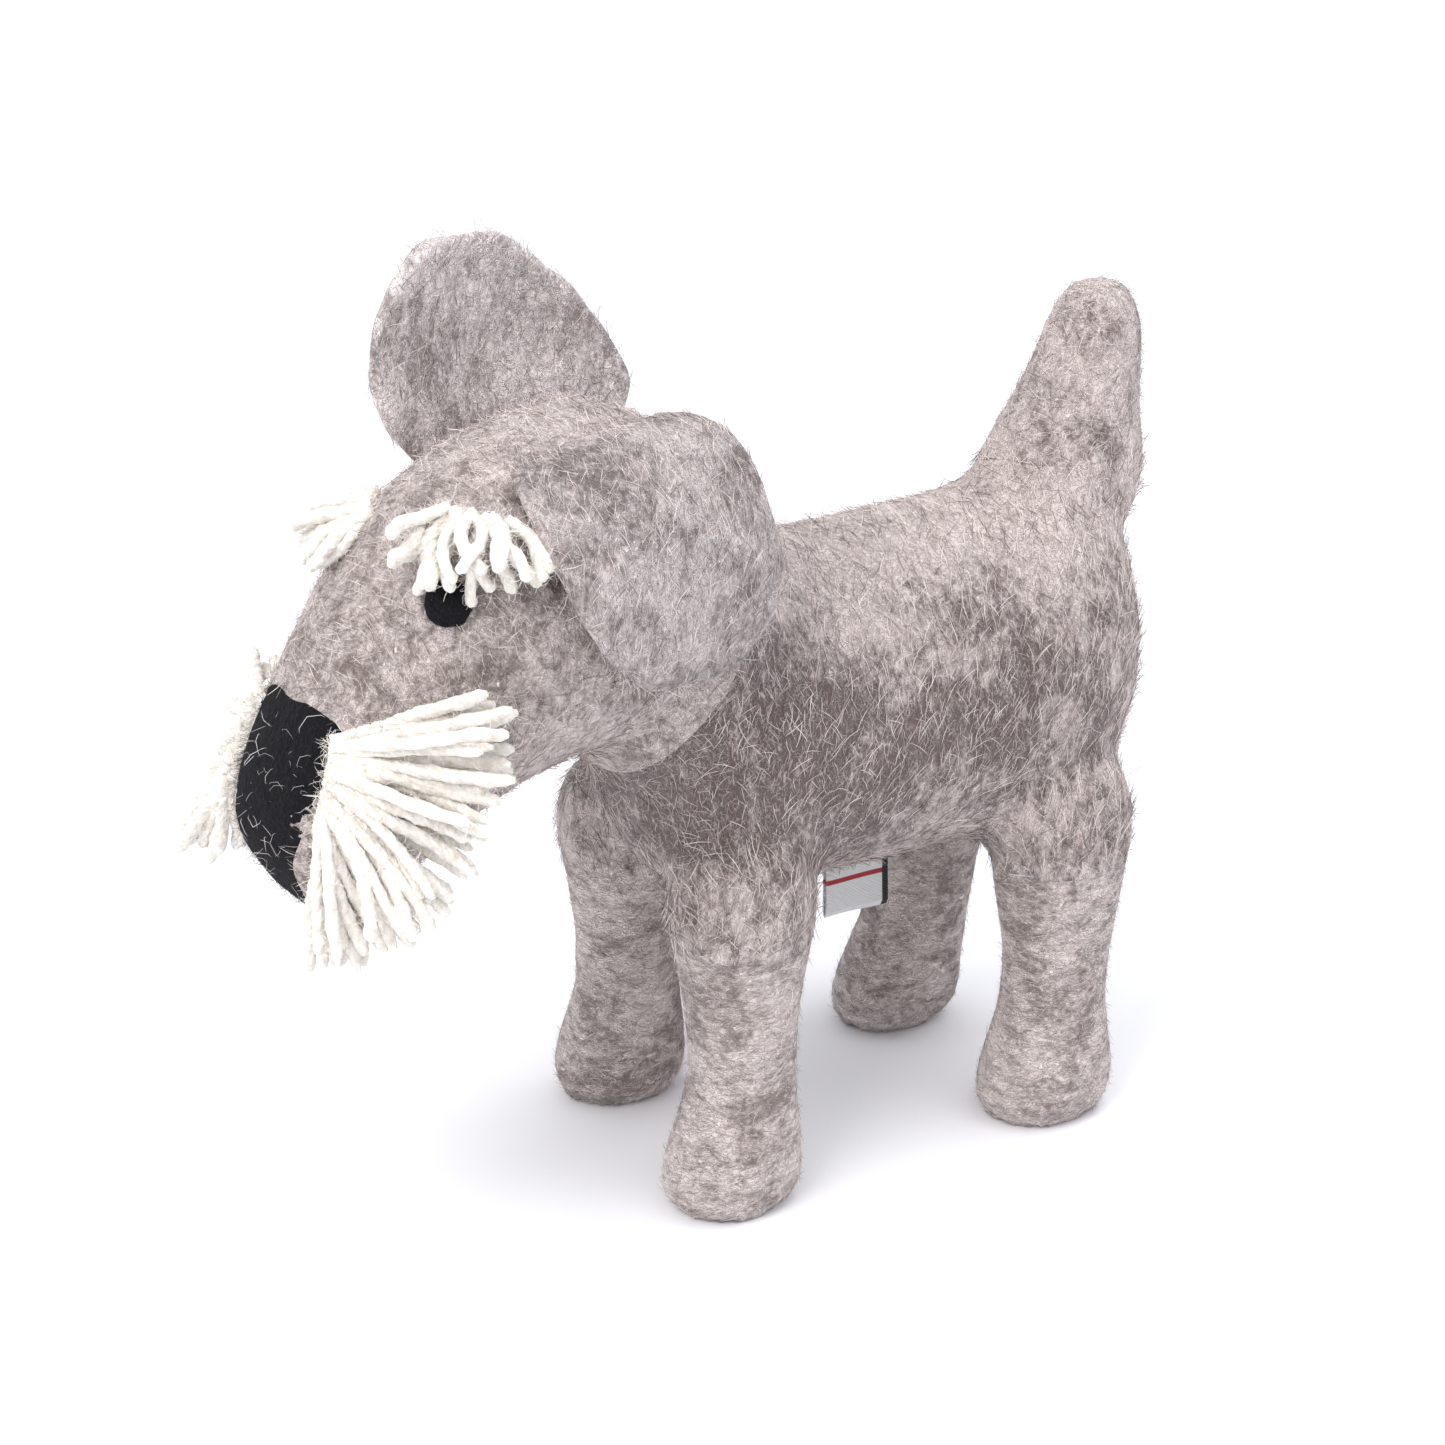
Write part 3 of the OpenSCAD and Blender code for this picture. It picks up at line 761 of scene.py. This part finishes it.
# ---- Eyes
# Each eye is a ball of black wool, needled hard and a little flat, and sewn in at the brow.
for side in ("left", "right"):
    low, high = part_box("eye_" + side)
    centre = (low + high) / 2 + Vector((0, -1, -3)) * MM
    outward = (centre - jaw @ (Vector((0, -38, 42)) * MM)).normalized()
    finish_editing()
    bpy.ops.mesh.primitive_uv_sphere_add(segments=32, ring_count=20, radius=4.5 * MM)
    eye = bpy.context.object
    eye.name = eye.data.name = f"eye_{side}_ball"
    eye.scale = (1, 1, 0.62)
    eye.rotation_euler = outward.to_track_quat("Z", "Y").to_euler()
    eye.location = centre - outward * 0.4 * MM
    bpy.ops.object.transform_apply(location=True, rotation=True, scale=True)
    dents = bpy.data.textures.new("eye_dents", "CLOUDS")
    dents.noise_scale = 0.003
    modify(eye, "DISPLACE", texture=dents, strength=1.3 * MM, mid_level=0.5, texture_coords="LOCAL")
    eye.data.materials.append(black_felt)
    pick(eye)
    bpy.ops.object.shade_smooth()
    eye_pile = brush(eye, f"eye_{side}_pile", black_bundle, 3, 1.8 * MM, jaw_way, 0.3, 0.9, 181, patchy=-0.4)
    for piece in (eye, eye_pile):
        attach(piece, "head")
    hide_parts("eye_" + side)


# ---- Head's wool
# The head is brushed last, round its nose patch and its eyes, so that no wool is trapped under them.
sewn_on = (nose, bpy.data.objects["eye_left_ball"], bpy.data.objects["eye_right_ball"])
head_coats = dress(head, head_felt, jaw_way, 0.9, 3.8 * MM, 0.06, 0.95, 41, layers=2, bare_under=sewn_on)
for coat in head_coats:
    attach(coat, "head")
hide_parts("head_side_left", "head_side_right", "head_stuffing")


# ---- Brows and moustache
# Short lengths of soft single-ply cream yarn are knotted through the felt: a thick fan at each side of the
# nose, fuller on the left, and a tuft of twenty over each eye. They fray.
yarn, tree, shader = new_material("cream_yarn", (0.86, 0.82, 0.76), 0.85, 0.5)
place = tree.node("ShaderNodeTexCoord", {}, output=3)
strands = tree.node("ShaderNodeTexNoise", {"Vector": place, "Scale": 650, "Detail": 3, "Roughness": 0.6})
cream = strands.between(0.3, 0.65).over((0.72, 0.66, 0.58, 1), (0.93, 0.90, 0.85, 1))
finish_with(tree, shader, cream, strands, 0.0006)
yarn_shades = {"yarn_0": (0.70, 0.65, 0.58), "yarn_1": (0.88, 0.85, 0.80)}
yarn_bundle = make_bundle("yarn", yarn_shades, 0.014, 1.6)

finish_editing()
bpy.ops.curve.primitive_nurbs_circle_add(radius=1)
profile = bpy.context.object
profile.name = "ply"
profile.data.splines.clear()
ring = profile.data.splines.new("POLY")
ring_points = 20
ring.points.add(ring_points - 1)
for place, point in enumerate(ring.points):
    angle = math.tau * place / ring_points
    reach = 1 + 0.09 * math.cos(3 * angle) + 0.07 * math.cos(7 * angle)
    point.co = (reach * math.cos(angle), reach * math.sin(angle), 0, 1)
ring.use_cyclic_u = True


def make_yarn(name, lengths):
    """Lengths of yarn as one mesh. Each is its points, its half thickness and its twist in turns."""
    finish_editing()
    bpy.ops.curve.primitive_bezier_curve_add()
    tuft = bpy.context.object
    tuft.name = name
    tuft.data.splines.clear()
    tuft.data.bevel_mode = "OBJECT"
    tuft.data.bevel_object = profile
    tuft.data.use_fill_caps = True
    tuft.location = (0, 0, 0)
    for points, half, turns in lengths:
        spline = tuft.data.splines.new("POLY")
        spline.points.add(len(points) - 1)
        for place, (point, knot) in enumerate(zip(points, spline.points)):
            share = place / (len(points) - 1)
            knot.co = (*point, 1)
            loose = 1 + 0.06 * math.sin(place * 0.9 + turns * 9) + 0.05 * math.sin(place * 1.7 + turns * 4)
            knot.radius = half * loose * (0.8 + 0.35 * share - 0.3 * share ** 4) * (0.5 if share == 1 else 1)
            knot.tilt = turns * math.tau * share
    pick(tuft)
    bpy.ops.object.convert(target="MESH")
    tuft = bpy.context.object
    tuft.data.name = name
    tuft.data.materials.clear()
    tuft.data.materials.append(yarn)
    bpy.ops.object.shade_smooth()
    return tuft


def curl(chance, root, way, droop, length, wave):
    """Points along a length of yarn that leaves its root one way and droops, with a slow wave of its own."""
    points = []
    steps = 22
    sway = way.cross(droop).normalized() if way.cross(droop).length > 0.01 else Vector((0, 0, 1))
    phase = chance.uniform(0, math.tau)
    lean = chance.uniform(-1, 1)
    place = root.copy()
    for step in range(steps + 1):
        share = step / steps
        points.append(place.copy())
        heading = way + droop * share + sway * (lean * share * 0.5 + wave * math.sin(phase + share * 4.5))
        place += heading.normalized() * (length / steps)
    return points


def fan_of_yarn(name, seed, root, seam, out, angles, count, length, half, droop, spread, lift, wave):
    """A fan of yarn lengths rooted along a seam. They turn from one angle to the other in its plane."""
    chance = random.Random(seed)
    lengths = []
    flat_out = (out - seam * out.dot(seam)).normalized()
    stand = flat_out.cross(seam).normalized()
    for place in range(count):
        share = place / (count - 1)
        angle = math.radians(angles[0] + (angles[1] - angles[0]) * share + chance.uniform(-7, 7))
        way = flat_out * math.cos(angle) + seam * math.sin(angle) + stand * chance.uniform(-lift, lift)
        start = root + seam * (share - 0.5) * spread + stand * chance.uniform(-0.8, 0.8) * MM
        own_length = length * (1 - 0.24 * share ** 3) * chance.uniform(0.88, 1.06)
        points = curl(chance, start, way.normalized(), droop * (2.2 * share - 0.5), own_length, wave)
        own_half = half * chance.uniform(0.85, 1.12)
        lengths.append((points, own_half, chance.uniform(1.2, 2.4) * length / 0.03))
    return make_yarn(name, lengths)


turned = upright_head.to_3x3()
down = Vector((0, 0, -1))
# Angles of the fan, how many lengths, how long, half thickness, droop, the seam's length, lift and wave
moustache_fans = {
    "left": ((-25, 80), 78, 33 * MM, 1.3 * MM, down * 0.28, 16.5 * MM, 0.32, 0.16),
    "right": ((-8, 78), 48, 25 * MM, 1.3 * MM, down * 0.2, 18 * MM, 0.30, 0.12),
}
for side, sign in (("left", 1), ("right", -1)):
    joint = joints[f"moustache_{side}_lift"]
    seam = Vector(joint["axis"]) * sign
    root = Vector(joint["pos_m"]) + turned @ Vector((sign * 1.5, 1.2, 0)) * MM
    out = turned @ Vector((0.63, 0.78, 0) if sign > 0 else (-0.70, 0.62, 0))
    tuft = fan_of_yarn(f"moustache_{side}_yarn", 5 + sign, root, seam, out, *moustache_fans[side])
    frays = brush(tuft, f"moustache_{side}_fray", yarn_bundle, 0.42, 3.2 * MM, upright, 0.25, 0.8, 201,
                  patchy=0.2)
    for piece in (tuft, frays):
        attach(piece, "moustache_" + side)
    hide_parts("moustache_" + side)
    root = jaw @ (Vector((15.5, -26, 62.8) if sign > 0 else (-12.5, -31.5, 60.5)) * MM)
    seam = (jaw.to_3x3() @ Vector((sign * 0.80, 0.45, -0.40))).normalized()
    out = jaw.to_3x3() @ Vector((sign * 0.50, -0.80, -0.05))
    brow = fan_of_yarn(f"brow_{side}_yarn", 15 + sign, root, seam, out, (-14, 68), 20, 18 * MM, 1.3 * MM,
                       down * 0.75, 14 * MM, 0.5, 0.5)
    frays = brush(brow, f"brow_{side}_fray", yarn_bundle, 1.0, 3 * MM, upright, 0.3, 0.8, 221, patchy=0.2)
    for piece in (brow, frays):
        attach(piece, "head")
    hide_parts("brow_" + side)


# ---- Closing stitches
# The slit in the belly panel, which the stuffing went in through, is whipped shut with cream thread.
stitch_count = 9
slit_start = 45
stitch_step = 4.2
stitches = []
for place in range(stitch_count):
    along = torso_low.y + (slit_start + stitch_step * place) * MM
    ends = []
    for across, ahead in ((-2.4, 0), (-1.2, 0.5), (0, 1), (1.2, 1.5), (2.4, 2)):
        spot = Vector((across * MM, along + ahead * MM, 0))
        _, touched, _, _ = torso.ray_cast(spot, (0, 0, 1))
        sunk = 0.6 if abs(across) > 2 else -0.35
        ends.append(touched + Vector((0, 0, sunk * MM)))
    stitches.append((ends, 0.42 * MM, 0.5))
thread = make_yarn("closing_stitches", stitches)
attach(thread, "torso")
bpy.data.objects.remove(profile)


# ---- Label
# A short length of white woven tape is folded in half, and its ends are caught in the belly's closing seam.
label_low, label_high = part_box("label")
tape_thick = 0.45 * MM
fold_gap = 0.35 * MM
tape_columns = 12
tape_rows = 24
finish_editing()
bpy.ops.mesh.primitive_grid_add(x_subdivisions=tape_columns, y_subdivisions=tape_rows, size=1)
tape = bpy.context.object
tape.name = tape.data.name = "label_tape"
drop = label_high.z - label_low.z
for place, vertex in enumerate(tape.data.vertices):
    across = place % (tape_columns + 1) / tape_columns
    along = place // (tape_columns + 1) / tape_rows * 2 - 1
    side = 1 if along > 0 else -1
    hang = 1 - abs(along)
    # Half a turn of the fold at the bottom joins the two leaves
    leaf = side * (fold_gap + tape_thick / 2) * min(1, abs(along) * 12)
    x = leaf + math.sin(across * 5 + hang * 3) * 0.3 * MM * hang
    y = label_low.y + (label_high.y - label_low.y) * across
    vertex.co = (x, y, label_high.z - drop * hang)
modify(tape, "SOLIDIFY", thickness=tape_thick, offset=0)
white_tape, tree, shader = new_material("white_tape", (0.80, 0.80, 0.80), 0.6, 0.1)
place = tree.node("ShaderNodeTexCoord", {}, output=3)
ribs = tree.node("ShaderNodeTexWave", {"Vector": place, "Scale": 900, "Distortion": 0.4}, bands_direction="Z")
threads = ribs.over((0.78, 0.78, 0.79, 1), (0.95, 0.95, 0.94, 1))
width_place = tree.node("ShaderNodeSeparateXYZ", {"Vector": place}, output=1)
height_place = tree.node("ShaderNodeSeparateXYZ", {"Vector": place}, output=2)
# A black selvedge runs down the rear edge, and one red line is woven across
selvedge = width_place.between(label_high.y - 1.5 * MM, label_high.y - 1.3 * MM)
line_place = tree.sum("ABSOLUTE", height_place - (label_low.z + 0.55 * (label_high.z - label_low.z)), 0)
threads = (1 - line_place.between(0.5 * MM, 0.6 * MM)).over(threads, (0.45, 0.03, 0.04, 1))
threads = selvedge.over(threads, (0.02, 0.02, 0.025, 1))
finish_with(tree, shader, threads, ribs, 0.0002)
tape.data.materials.append(white_tape)
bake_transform(tape)
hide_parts("label")

for bundle in (wool_bundle, black_bundle, fluff_bundle, yarn_bundle):
    for fibre in list(bundle.objects):
        bpy.data.objects.remove(fibre)
    bpy.data.collections.remove(bundle)
